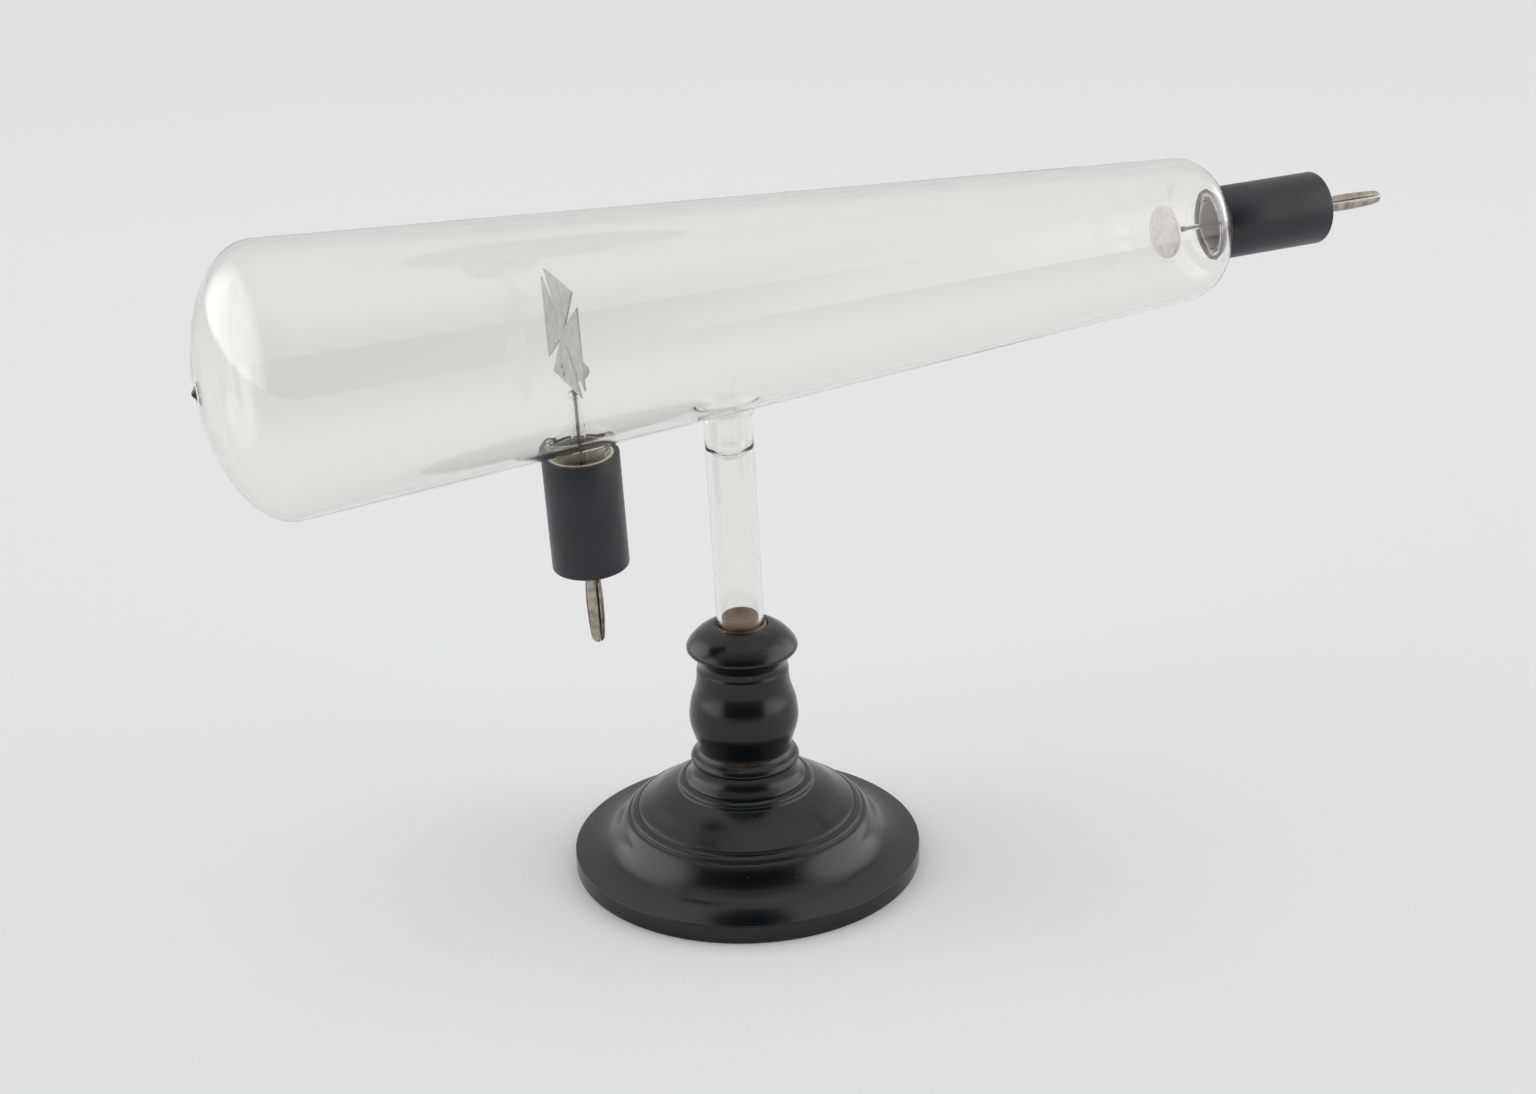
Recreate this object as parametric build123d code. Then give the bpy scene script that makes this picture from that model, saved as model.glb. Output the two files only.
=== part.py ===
from build123d import *

import math
import os

# A cold-cathode tube with a Maltese cross: a conical glass envelope on a turned black stand.
# The origin is the middle of the foot's underside. +Z is up, and +X runs along the tube from its
# wide end, where the cross throws its shadow, to its narrow end, which holds the cathode.
# All lengths are in millimetres and all angles in degrees.

os.makedirs("parts", exist_ok=True)

# Foot, turned from one piece of beech. The mouldings are named from the rim inwards.
foot_radius = 46.4
rim_height = 5.0
rim_edge = 0.25
brim_rise = 1.6
cove_width = 3.2
cove_rise = 4.2
ovolo_width = 2.1
ovolo_rise = 3.7
groove_width = 1.2
groove_rise = 0.5
band_width = 1.6
band_rise = 0.9
step_width = 0.8
step_rise = 0.7
ogee_width = 10.2
ogee_rise = 6.0
nosing_width = 1.2
nosing_rise = 1.9
quirk_width = 1.4
quirk_rise = 0.7
throat_width = 1.9
throat_rise = 4.2
collar_lip = 0.4
collar_lip_rise = 0.2
collar_width = 2.1
collar_rise = 3.7

# Pillar, a vase with a bead on top that takes the stem.
pillar_seat_radius = 12.2
belly_swell = 1.95
belly_height = 9.0
waist_pinch = 3.25
waist_rise = 14.9
bead_flare = 2.55
bead_flare_rise = 3.7
bead_lip = 0.85
bead_lip_rise = 0.7
bead_rise = 6.7
tenon_radius = 6.0
tenon_length = 15.0
tenon_fit = 0.05
tenon_end_gap = 1.0

# Glass stem in its socket. It leans a little, as it was cemented by eye.
stem_radius = 6.2
stem_lean_x = 2.37
stem_lean_y = 1.30
stem_pivot_depth = 6.2
socket_depth = 16.0
socket_gap = 0.7
cement_under_stem = 1.2
cement_mouth_depth = 0.35
cement_fill_rise = 0.9
glass_wall = 1.3

# Envelope: a cone between a domed wide end and a rounded narrow end.
axis_height_on_stem = 92.5
tube_pitch = 1.67
wide_radius = 32.7
narrow_radius = 18.5
wide_end_x = -110.3
narrow_end_x = 131.0
dome_depth = 17.7
shoulder_depth = 10.5
neck_flare = 1.8
nipple_radius = 2.6
nipple_height = 1.1
nipple_root = 1.5

# Junction of the stem with the envelope, closed by a rounded glass septum.
stub_flare = 3.5
septum_depth = 11.8
septum_bulge = 2.6
stub_skirt = 0.6

# Anode, through the side of the envelope at the wide end.
anode_x = -39.5
anode_lean_x = 3.46
anode_lean_y = 3.15
anode_flare = 1.6
anode_mouth_gap = 3.12
anode_sleeve_tip_radius = 1.65
anode_sleeve_root_radius = 2.65
sleeve_glass = 0.8
seal_length = 3.5

# Cathode, in line with the tube at its narrow end.
cathode_mouth_gap = 2.0
cathode_sleeve_reach = 10.5
cathode_sleeve_radius = 1.8
disc_radius = 7.0
disc_thickness = 1.2
disc_edge = 0.3
disc_x = 126.8
ferrule_radius = 1.5
ferrule_length = 2.4

# Neck, cap and plaster, alike at both electrodes.
neck_radius = 7.5
neck_butt_depth = 1.0
lead_room = 10.85
neck_end_height = 4.0
sleeve_tail = 1.5
cap_radius = 9.5
cap_length = 30.45
cap_wall = 1.1
cap_end = 4.0
cap_edge = 0.6
plaster_recess = 0.3
plaster_short = 2.5

# Electrode wires and leads.
wire_radius = 0.425
wire_tail = 1.5
lead_radius = 0.3
lead_bend = 3.2
lead_start = 1.0

# Bunch plug: a shank with four sprung leaves. Nut and solder tag hold it in the cap.
pin_radius = 2.0
pin_hole_fit = 0.05
pin_visible = 22.0
pin_shank = 5.2
pin_swell = 0.2
swell_start = 3.6
swell_land = 2.5
pin_tip_radius = 1.75
slot_root = 0.5
slot_middle = 0.7
slot_tip = 0.35
anode_slot_turn = 20.0
cathode_slot_turn = 30.0
thread_fit = 0.03
stub_past_nut = 0.9
stub_chamfer = 0.3
nut_flats = 7.0
nut_thickness = 2.2
nut_chamfer = 0.35
tag_thickness = 0.5
tag_radius = 3.4
tag_tail_width = 2.4
tag_tail_length = 6.8

# Maltese cross, cut from sheet, on a hinge lug.
cross_reach = 13.23
arm_half_width = 10.43
notch_from_centre = 3.1
sheet_thickness = 0.5
cross_offset = 1.42
pivot_drop = 10.4
lug_thickness = 0.4
lug_height = 4.1
ear_gap_half = 0.75
ear_thickness = 0.5
ear_reach = 3.9
ear_clearance = 0.7
flange_length = 2.9
stop_height = 0.6
stop_gap = 0.04
hinge_pin_radius = 0.35
hinge_fit = 0.03
hinge_head_radius = 0.6
hinge_head = 0.25
eye_radius = 0.68
eye_half_width = 0.6
rivet_radius = 0.45
rivet_head_radius = 0.7
rivet_head = 0.25
rivet_edge_margin = 1.0
rivet_pitch = 1.0
rivet_fit = 0.02

# Sizes that follow from the ones above.
stand_height = (rim_height + brim_rise + cove_rise + ovolo_rise + groove_rise + band_rise + step_rise
                + ogee_rise + nosing_rise + quirk_rise + throat_rise + collar_lip_rise + collar_rise)
pillar_height = belly_height + waist_rise + bead_flare_rise + bead_lip_rise + bead_rise
mouth_height = stand_height + pillar_height
socket_radius = stem_radius + socket_gap
stem_bore = stem_radius - glass_wall
taper = (wide_radius - narrow_radius) / (narrow_end_x - wide_end_x)
neck_bore = neck_radius - glass_wall
cap_bore = cap_radius - cap_wall
cap_floor = cap_length - cap_end
shoulder_end_x = narrow_end_x + shoulder_depth
cathode_mouth_x = shoulder_end_x + cathode_mouth_gap
pin_hole_radius = pin_radius + pin_hole_fit
nut_hole_radius = pin_radius + thread_fit
tag_floor = cap_floor - tag_thickness
nut_floor = tag_floor - nut_thickness
shank_start = nut_floor - stub_past_nut
neck_depth = shank_start - lead_room
plaster_depth = neck_depth - plaster_short
leaf_start = cap_length + pin_shank
pin_end = cap_length + pin_visible


def envelope_radius(x):
    """Outer radius of the cone at a place along the tube."""
    return wide_radius - taper * (x - wide_end_x)


anode_mouth_depth = envelope_radius(anode_x) + anode_mouth_gap
anode_sleeve_reach = anode_mouth_depth - pivot_drop - ear_reach - ear_clearance

# Frames of the leaning parts: the stem, the tube, the anode and the two caps.
stem_place = (Pos(0, 0, mouth_height - stem_pivot_depth)
              * Rot(0, -stem_lean_x, 0) * Rot(stem_lean_y, 0, 0))
tube_centre = (stem_place * Pos(0, 0, axis_height_on_stem)).position
tube_place = Pos(tube_centre) * Rot(0, -tube_pitch, 0)
anode_centre = (tube_place * Pos(anode_x, 0, 0)).position
anode_place = Pos(anode_centre) * Rot(0, -anode_lean_x, 0) * Rot(anode_lean_y, 0, 0)
anode_cap_place = anode_place * Rot(0, 180, 0) * Pos(0, 0, anode_mouth_depth)
cathode_cap_place = tube_place * Pos(cathode_mouth_x, 0, 0) * Rot(0, 90, 0)
cross_place = anode_place * Pos(0, 0, -pivot_drop)


def between(start, end, *shares):
    """Points from start to end, each given by its shares of the run and of the rise."""
    run = end[0] - start[0]
    rise = end[1] - start[1]
    middle = [(start[0] + share_x * run, start[1] + share_y * rise) for share_x, share_y in shares]
    return [start, *middle, end]


def swept_round(start, end, *shares):
    """A smooth stretch of an outline from start to end."""
    return Spline(*between(start, end, *shares))


def arc_by(start, end, share_x, share_y):
    """A round stretch of an outline, through one point between its ends."""
    return ThreePointArc(*between(start, end, (share_x, share_y)))


def turned(edges):
    """The solid that the closed outline in (radius, height) gives about the Z axis."""
    return revolve(Plane.XZ * make_face(edges), Axis.Z)


def rod(radius, bottom, top):
    """A round bar along Z between two heights."""
    return Pos(0, 0, bottom) * Cylinder(radius, top - bottom, align=(Align.CENTER, Align.CENTER, Align.MIN))


def dome(radius, height):
    """A solid half ellipsoid that stands on the XY plane."""
    curve = EllipticalCenterArc((0, 0), radius, height, 0, arc_size=90)
    return turned([curve, Line((0, height), (0, 0)), Line((0, 0), (radius, 0))])


def foot():
    """The foot's outline goes from the flat underside over rim, brim, ovolo and ogee to the collar."""
    seat = (pillar_seat_radius, stand_height)
    collar = (seat[0] + collar_width, seat[1] - collar_rise)
    throat = (collar[0] - collar_lip, collar[1] - collar_lip_rise)
    quirk = (throat[0] + throat_width, throat[1] - throat_rise)
    nosing_top = (quirk[0] + quirk_width, quirk[1] - quirk_rise)
    nosing = (nosing_top[0] + nosing_width, nosing_top[1] - nosing_rise)
    ogee_foot = (nosing[0] + ogee_width, nosing[1] - ogee_rise)
    band_top = (ogee_foot[0] + step_width, ogee_foot[1] - step_rise)
    band_foot = (band_top[0] + band_width, band_top[1] - band_rise)
    ovolo_top = (band_foot[0] + groove_width, band_foot[1] - groove_rise)
    ovolo_foot = (ovolo_top[0] + ovolo_width, ovolo_top[1] - ovolo_rise)
    brim_end = (ovolo_foot[0] + cove_width, ovolo_foot[1] - cove_rise)
    rim_top = (foot_radius - rim_edge, rim_height)
    brim = between(rim_top, brim_end, (0.6, 0.38))
    cove = between(brim_end, ovolo_foot, (0.72, 0.48))
    outline = [
        Line((0, 0), (foot_radius, 0)),
        Line((foot_radius, 0), (foot_radius, rim_height - rim_edge)),
        CenterArc((rim_top[0], rim_height - rim_edge), rim_edge, 0, 90),
        Spline(*brim, *cove[1:]),
        arc_by(ovolo_foot, ovolo_top, 0.38, 0.6),
        Line(ovolo_top, (band_foot[0] + 0.2 * groove_width, ovolo_top[1] - 0.2 * groove_rise)),
        Line((band_foot[0] + 0.2 * groove_width, ovolo_top[1] - 0.2 * groove_rise), band_foot),
        arc_by(band_foot, band_top, 0.45, 0.67),
        Line(band_top, (ogee_foot[0] + 0.3 * step_width, band_top[1] + 0.1 * step_rise)),
        Line((ogee_foot[0] + 0.3 * step_width, band_top[1] + 0.1 * step_rise), ogee_foot),
        swept_round(ogee_foot, nosing, (0.235, 0.27), (0.51, 0.58), (0.745, 0.8)),
        arc_by(nosing, nosing_top, 0.33, 0.53),
        Line(nosing_top, (quirk[0] + 0.15 * quirk_width, quirk[1] - 0.3 * quirk_rise)),
        Line((quirk[0] + 0.15 * quirk_width, quirk[1] - 0.3 * quirk_rise), quirk),
        swept_round(quirk, throat, (0.63, 0.33), (0.95, 0.76)),
        Line(throat, collar),
        arc_by(collar, seat, 0.14, 0.57),
        Line(seat, (0, stand_height)),
        Line((0, stand_height), (0, 0)),
    ]
    mortise = rod(tenon_radius + tenon_fit, stand_height - tenon_length - tenon_end_gap, stand_height)
    return turned(outline) - mortise


def pillar():
    """Vase, waist and bead, with a tenon below and the stem's socket above."""
    seat = (pillar_seat_radius, stand_height)
    belly = (seat[0] + belly_swell, seat[1] + belly_height)
    waist = (belly[0] - waist_pinch, belly[1] + waist_rise)
    under_bead = (waist[0] + bead_flare, waist[1] + bead_flare_rise)
    bead = (under_bead[0] + bead_lip, under_bead[1] + bead_lip_rise)
    mouth = (socket_radius, bead[1] + bead_rise)
    vase = between(seat, belly, (0.36, 0.37), (0.82, 0.72))
    neck = between(belly, waist, (0.2, 0.33), (0.63, 0.624), (0.877, 0.886))
    outline = [
        Line((0, stand_height), seat),
        Spline(*vase, *neck[1:]),
        swept_round(waist, under_bead, (0.04, 0.38), (0.59, 0.65)),
        Line(under_bead, bead),
        swept_round(bead, mouth, (-0.014, 0.104), (0.055, 0.269), (0.19, 0.46),
                    (0.37, 0.657), (0.6, 0.836), (0.81, 0.955)),
        Line(mouth, (0, mouth_height)),
        Line((0, mouth_height), (0, stand_height)),
    ]
    body = turned(outline) + rod(tenon_radius, stand_height - tenon_length, stand_height)
    return body - rod(socket_radius, mouth_height - socket_depth, mouth_height)


# Depths along the stem, in the stem's own frame with its origin where it crosses the stand's axis.
stem_foot = stem_pivot_depth - socket_depth + cement_under_stem
septum = envelope_radius(0) + septum_depth
stub_end = septum + septum_bulge + glass_wall + stub_skirt
stem_top = axis_height_on_stem - stub_end


def support_stem():
    """A plain glass tube, open below, that butts on the envelope's stub."""
    tube = rod(stem_radius, stem_foot, stem_top) - rod(stem_bore, stem_foot, stem_top)
    return stem_place * tube


def socket_cement():
    """Cement round the stem in its socket, under it, and a little way up inside it."""
    filling = rod(socket_radius, mouth_height - socket_depth, mouth_height - cement_mouth_depth)
    filling -= stem_place * rod(stem_radius, stem_foot, stem_top)
    plug = rod(stem_bore, stem_foot - cement_under_stem / 2, stem_pivot_depth + cement_fill_rise)
    return filling + stem_place * plug


def envelope_skin(inset, overrun):
    """Solid inside the envelope's skin, inset by a wall, about the X axis; its neck runs on by overrun."""
    radius = wide_radius - inset
    depth = dome_depth - inset
    corner_run = shoulder_depth - inset
    flare = neck_flare + inset
    neck = neck_radius - inset
    corner_rise = narrow_radius - neck - flare - inset
    dome_turn = math.degrees(math.atan(taper * depth / radius))
    corner_turn = math.degrees(math.atan(taper * corner_run / corner_rise))
    end_x = cathode_mouth_x + neck_butt_depth + overrun
    dome = EllipticalCenterArc((wide_end_x, 0), depth, radius, 180, arc_size=-90 - dome_turn)
    corner = EllipticalCenterArc((narrow_end_x, neck + flare), corner_run, corner_rise, 90 - corner_turn,
                                 arc_size=corner_turn - 90)
    flare_end = (shoulder_end_x + neck_flare, neck)
    edges = [
        dome,
        Line(dome @ 1, corner @ 0),
        corner,
        CenterArc((shoulder_end_x + neck_flare, neck + flare), flare, 180, 90),
        Line(flare_end, (end_x, neck)),
        Line((end_x, neck), (end_x, 0)),
        Line((end_x, 0), dome @ 0),
    ]
    return revolve(make_face(edges), Axis.X)


def nipple():
    """The sealed end of the pumping tube, a small cone drawn off the dome."""
    root_x = wide_end_x - dome_depth + nipple_root
    tip_x = wide_end_x - dome_depth - nipple_height
    height = root_x - tip_x
    cone = Cone(nipple_radius, nipple_radius / 3, height, align=(Align.CENTER, Align.CENTER, Align.MIN))
    cone = fillet(cone.edges().sort_by(Axis.Z)[-1], nipple_radius / 4)
    return Pos(root_x, 0, 0) * Rot(0, -90, 0) * cone


def root_curve(body, branch, radius):
    """The curve in which a branch of that radius leaves the shell."""
    curves = []
    for edge in body.edges().filter_by(GeomType.BSPLINE):
        point = (branch.inverse() * Pos(edge @ 0.3)).position
        if abs(math.hypot(point.X, point.Y) - radius) < glass_wall / 10:
            curves.append(edge)
    return curves


def flared(body, branch, radius, flare, inner_flare):
    """The shell with the root of one branch rounded outside and inside."""
    body = fillet(root_curve(body, branch, radius), flare)
    return fillet(root_curve(body, branch, radius - glass_wall), inner_flare)


def envelope():
    """Blown shell with a stub for the stem, a stub for the anode and its neck at the cathode end."""
    to_tube = tube_place.inverse()
    stem_axis = to_tube * stem_place * Pos(0, 0, axis_height_on_stem) * Rot(180, 0, 90)
    anode_axis = to_tube * anode_place * Rot(0, 180, 90)
    anode_end = anode_mouth_depth + neck_butt_depth

    outside = envelope_skin(0, 0) + stem_axis * rod(stem_radius, 0, stub_end)
    outside += anode_axis * rod(neck_radius, 0, anode_end)
    inside = envelope_skin(glass_wall, glass_wall) + stem_axis * rod(stem_bore, 0, septum)
    inside += anode_axis * rod(neck_bore, 0, anode_end + glass_wall)
    shell = flared(outside - inside, anode_axis, neck_radius, anode_flare, anode_flare + glass_wall)
    shell = flared(shell, stem_axis, stem_radius, stub_flare, stub_flare)

    bulge = dome(stem_bore, septum_bulge)
    shell = shell + nipple() - stem_axis * Pos(0, 0, septum) * bulge
    pocket = rod(stem_bore, septum + glass_wall, stub_end) - Pos(0, 0, septum + glass_wall) * bulge
    return tube_place * (shell - stem_axis * pocket)


def round_ended(radius, end_height):
    """The neck's inner or outer skin as a solid, from its butt joint to its rounded end."""
    straight = neck_depth - neck_end_height
    return rod(radius, neck_butt_depth, straight) + Pos(0, 0, straight) * dome(radius, end_height)


def neck(place, at_cathode):
    """Glass tube that butts on the envelope's stub and closes round the seal sleeve inside the cap."""
    outer = round_ended(neck_radius, neck_end_height)
    inner = round_ended(neck_bore, neck_end_height - glass_wall)
    return place * (outer - inner) - seal_sleeve_skin(place, at_cathode)


def sleeve_size(at_cathode):
    """Reach into the envelope, tip radius and root radius of one seal sleeve."""
    if at_cathode:
        return cathode_sleeve_reach, cathode_sleeve_radius, cathode_sleeve_radius
    return anode_sleeve_reach, anode_sleeve_tip_radius, anode_sleeve_root_radius


def seal_sleeve_skin(place, at_cathode):
    """The sleeve as a solid: a domed tip, a slow taper and a straight tail."""
    reach, tip, root = sleeve_size(at_cathode)
    end = neck_depth + sleeve_tail
    taper_end = neck_depth - neck_end_height
    outline = [
        CenterArc((0, tip - reach), tip, 270, 90),
        Line((tip, tip - reach), (root, taper_end)),
        Line((root, taper_end), (root, end)),
        Line((root, end), (0, end)),
        Line((0, end), (0, -reach)),
    ]
    return place * turned(outline)


def seal_sleeve(place, at_cathode):
    """Re-entrant glass sleeve, open to the cap and fused on the wire at its tip inside the tube."""
    reach, tip, root = sleeve_size(at_cathode)
    end = neck_depth + sleeve_tail
    bore_start = seal_length - reach
    bore_tip = tip - sleeve_glass
    bore_root = root - sleeve_glass
    taper_end = neck_depth - neck_end_height
    outline = [
        CenterArc((0, bore_start + bore_tip), bore_tip, 270, 90),
        Line((bore_tip, bore_start + bore_tip), (bore_root, taper_end)),
        Line((bore_root, taper_end), (bore_root, end)),
        Line((bore_root, end), (0, end)),
        Line((0, end), (0, bore_start)),
    ]
    hollow = place * turned(outline)
    wire_hole = place * rod(wire_radius, -reach, bore_start + bore_tip)
    return seal_sleeve_skin(place, at_cathode) - hollow - wire_hole


def cap(place):
    """Turned ebonite cap: a cup with a hole in its end for the plug pin."""
    body = rod(cap_radius, 0, cap_length)
    body = fillet(body.edges().sort_by(Axis.Z)[-1], cap_edge)
    body -= rod(cap_bore, 0, cap_floor)
    return place * (body - rod(pin_hole_radius, cap_floor, cap_length))


def cap_plaster(place):
    """Plaster that fixes the cap on the neck."""
    return place * (rod(cap_bore, plaster_recess, plaster_depth) - rod(neck_radius, 0, plaster_depth))


def solder_tag(place):
    """Washer with a tail for the lead, clamped against the cap's floor."""
    tail = Pos(tag_tail_length / 2, 0, 0) * Rectangle(tag_tail_length, tag_tail_width)
    tail = fillet(tail.vertices().group_by(Axis.X)[-1], tag_tail_width / 3)
    shape = Circle(tag_radius) + tail - Circle(nut_hole_radius)
    return place * Pos(0, 0, tag_floor) * extrude(shape, tag_thickness)


def pin_nut(place):
    """Hexagon nut on the pin's inner end, its corners taken off on both faces."""
    hexagon = RegularPolygon(nut_flats / 2, 6, major_radius=False)
    body = Pos(0, 0, nut_floor) * extrude(hexagon, nut_thickness)
    corner = nut_flats / math.sqrt(3)
    blank = chamfer(rod(corner, nut_floor, tag_floor).edges().filter_by(GeomType.CIRCLE), nut_chamfer)
    return place * ((body & blank) - rod(nut_hole_radius, nut_floor, tag_floor))


def lead(place):
    """Bare wire from the seal to the tag's tail: out of the axis, over in an S, and down to the tag."""
    start_z = neck_depth + sleeve_tail + wire_tail
    offset = tag_tail_length - tag_tail_width / 2
    turn = math.degrees(math.acos(1 - offset / 2 / lead_bend))
    first = Line((0, start_z), (0, start_z + lead_start))
    outward = JernArc(first @ 1, first % 1, lead_bend, -turn)
    back = JernArc(outward @ 1, outward % 1, lead_bend, turn)
    last = Line(back @ 1, (offset, tag_floor))
    path = Plane.XZ * Wire([first, outward, back, last])
    return place * sweep(Pos(0, 0, start_z) * Circle(lead_radius), path)


def plug_pin(place, slot_turn):
    """Nickelled pin: a stub for the nut, a shank, and a swollen end split in four by two slots."""
    swell = pin_radius + pin_swell
    swell_z = leaf_start + swell_start
    land_end = swell_z + swell_land
    tip_start = pin_end - pin_tip_radius
    outline = [
        Line((0, shank_start), (pin_radius - stub_chamfer, shank_start)),
        Line((pin_radius - stub_chamfer, shank_start), (pin_radius, shank_start + stub_chamfer)),
        Line((pin_radius, shank_start + stub_chamfer), (pin_radius, leaf_start)),
        Line((pin_radius, leaf_start), (swell, swell_z)),
        Line((swell, swell_z), (swell, land_end)),
        arc_by((swell, land_end), (pin_tip_radius, tip_start), 0.35, 0.5),
        CenterArc((0, tip_start), pin_tip_radius, 0, 90),
        Line((0, pin_end), (0, shank_start)),
    ]
    half_slot = [
        (slot_root / 2, leaf_start),
        (slot_middle / 2, swell_z),
        (slot_middle / 2, land_end),
        (slot_tip / 2, pin_end + pin_tip_radius),
    ]
    other_half = [(-x, z) for x, z in reversed(half_slot)]
    slot_face = make_face(Polyline(*half_slot, *other_half, close=True))
    slot = extrude(Plane.XZ * slot_face, 2 * swell, both=True)
    body = turned(outline)
    for quarter in (0, 90):
        body -= Rot(0, 0, slot_turn + quarter) * slot
    return place * body


def anode_wire():
    """Straight nickel wire through its seal, flattened into an eye round the hinge pin."""
    eye = Rot(90, 0, 0) * Cylinder(eye_radius, 2 * eye_half_width)
    bore = Rot(90, 0, 0) * Cylinder(hinge_pin_radius + hinge_fit, 4 * eye_half_width)
    length = anode_mouth_depth + neck_depth + sleeve_tail + wire_tail - pivot_drop
    return cross_place * (rod(wire_radius, -length, 0) + eye - bore)


def cathode_wire():
    """Straight nickel wire from the disc's face through its seal."""
    back = cathode_mouth_x - disc_x - disc_thickness / 2
    return cathode_cap_place * rod(wire_radius, -back, neck_depth + sleeve_tail + wire_tail)


def cathode_disc():
    """Aluminium disc, its rims rounded."""
    disc = Cylinder(disc_radius, disc_thickness)
    disc = fillet(disc.edges().filter_by(GeomType.CIRCLE), disc_edge)
    return tube_place * Pos(disc_x, 0, 0) * Rot(0, 90, 0) * disc


def cathode_ferrule():
    """Small collar that holds the disc on its wire."""
    ring = rod(ferrule_radius, 0, ferrule_length) - rod(wire_radius, 0, ferrule_length)
    return tube_place * Pos(disc_x + disc_thickness / 2, 0, 0) * Rot(0, 90, 0) * ring


# Places in the cross's own frame: its origin is the hinge pin, +X points to the cathode.
sheet_back = -cross_offset + sheet_thickness / 2
sheet_front = -cross_offset - sheet_thickness / 2
lug_back = sheet_back + lug_thickness
lug_half = lug_height / 2
ear_outside = ear_gap_half + ear_thickness
flange_end = ear_outside + flange_length
rivet_y = [ear_outside + rivet_edge_margin, flange_end - rivet_edge_margin]
rivet_z = [-rivet_pitch, rivet_pitch]


def along_x(shape, start, end):
    """A shape drawn in (y, z), extruded along X between two places."""
    return Pos(start, 0, 0) * extrude(Plane.YZ * shape, end - start, dir=(1, 0, 0))


def rivet_holes(radius):
    """The two rivets' shanks through sheet and lug."""
    return [Pos(0, y, z) * along_x(Circle(radius), sheet_front, lug_back) for y, z in zip(rivet_y, rivet_z)]


def maltese_cross():
    """Sheet cross with straight arm ends and four V notches."""
    notch = notch_from_centre / math.sqrt(2)
    arm = [(-arm_half_width, cross_reach), (arm_half_width, cross_reach), (notch, notch)]
    points = [Vector(*corner).rotate(Axis.Z, -90 * quarter) for quarter in range(4) for corner in arm]
    shape = Pos(0, pivot_drop) * make_face(Polyline(*points, close=True))
    sheet = along_x(shape, sheet_front, sheet_back)
    for hole in rivet_holes(rivet_radius + rivet_fit):
        sheet -= hole
    return cross_place * sheet


def cross_hinge_lug():
    """Folded lug: a riveted flange, and two ears that straddle the wire's eye."""
    flange_width = ear_outside + flange_end
    flange = Pos((flange_end - ear_outside) / 2, 0) * Rectangle(flange_width, lug_height)
    lug = along_x(flange, sheet_back, lug_back)
    round_x = ear_reach - lug_half
    ear = Pos((lug_back + round_x) / 2, 0) * Rectangle(round_x - lug_back, lug_height)
    ear += Pos(round_x, 0) * Circle(lug_half)
    for side in (-1, 1):
        middle = side * (ear_gap_half + ear_thickness / 2)
        lug += Pos(0, middle, 0) * extrude(Plane.XZ * ear, ear_thickness / 2, both=True)
    stop_length = -wire_radius - stop_gap - lug_back
    corner_align = (Align.MIN, Align.CENTER, Align.MIN)
    lug += Pos(lug_back, 0, -lug_half) * Box(stop_length, 2 * ear_gap_half, stop_height, align=corner_align)
    lug -= Rot(90, 0, 0) * Cylinder(hinge_pin_radius, 4 * ear_outside)
    for hole in rivet_holes(rivet_radius + rivet_fit):
        lug -= hole
    return cross_place * lug


def cross_hinge_pin():
    """Pin through both ears and the eye, headed at its ends."""
    pin = Cylinder(hinge_pin_radius, 2 * ear_outside)
    for side in (-1, 1):
        pin += Pos(0, 0, side * (ear_outside + hinge_head / 2)) * Cylinder(hinge_head_radius, hinge_head)
    return cross_place * Rot(90, 0, 0) * pin


def cross_rivets():
    """Two rivets, headed on the cross's face and on the back of the flange."""
    rivets = []
    for y, z in zip(rivet_y, rivet_z):
        shank = along_x(Circle(rivet_radius), sheet_front, lug_back)
        front = along_x(Circle(rivet_head_radius), sheet_front - rivet_head, sheet_front)
        back = along_x(Circle(rivet_head_radius), lug_back, lug_back + rivet_head)
        rivets.append(cross_place * Pos(0, y, z) * (shank + front + back))
    return Compound(rivets)


nodes = {
    "foot": foot(),
    "pillar": pillar(),
    "socket_cement": socket_cement(),
    "support_stem": support_stem(),
    "envelope": envelope(),
    "anode_wire": anode_wire(),
    "cathode_wire": cathode_wire(),
    "cathode_disc": cathode_disc(),
    "cathode_ferrule": cathode_ferrule(),
    "maltese_cross": maltese_cross(),
    "cross_hinge_lug": cross_hinge_lug(),
    "cross_hinge_pin": cross_hinge_pin(),
    "cross_rivets": cross_rivets(),
}
electrodes = [
    ("anode", anode_cap_place, False, anode_slot_turn),
    ("cathode", cathode_cap_place, True, cathode_slot_turn),
]
for name, place, at_cathode, slot_turn in electrodes:
    nodes[name + "_neck"] = neck(place, at_cathode)
    nodes[name + "_seal_sleeve"] = seal_sleeve(place, at_cathode)
    nodes[name + "_cap"] = cap(place)
    nodes[name + "_cap_plaster"] = cap_plaster(place)
    nodes[name + "_lead"] = lead(place)
    nodes[name + "_plug_pin"] = plug_pin(place, slot_turn)
    nodes[name + "_pin_nut"] = pin_nut(place)
    nodes[name + "_solder_tag"] = solder_tag(place)

for node, solid in nodes.items():
    export_step(solid, f"parts/{node}.step")
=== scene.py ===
# %% [markdown]
# Maltese cross tube. A conical glass tube stands on a turned black stand. A cathode disc sits at
# its narrow end, and a hinged aluminium cross stands in the beam at its wide end. This lesson
# dresses the measured model: it makes each visible piece again as a fine mesh, gives it a finish
# worked out from the real material, and sets a camera where the photographer stood.

import math

import bmesh
import bpy
from mathutils import Matrix, Vector


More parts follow.
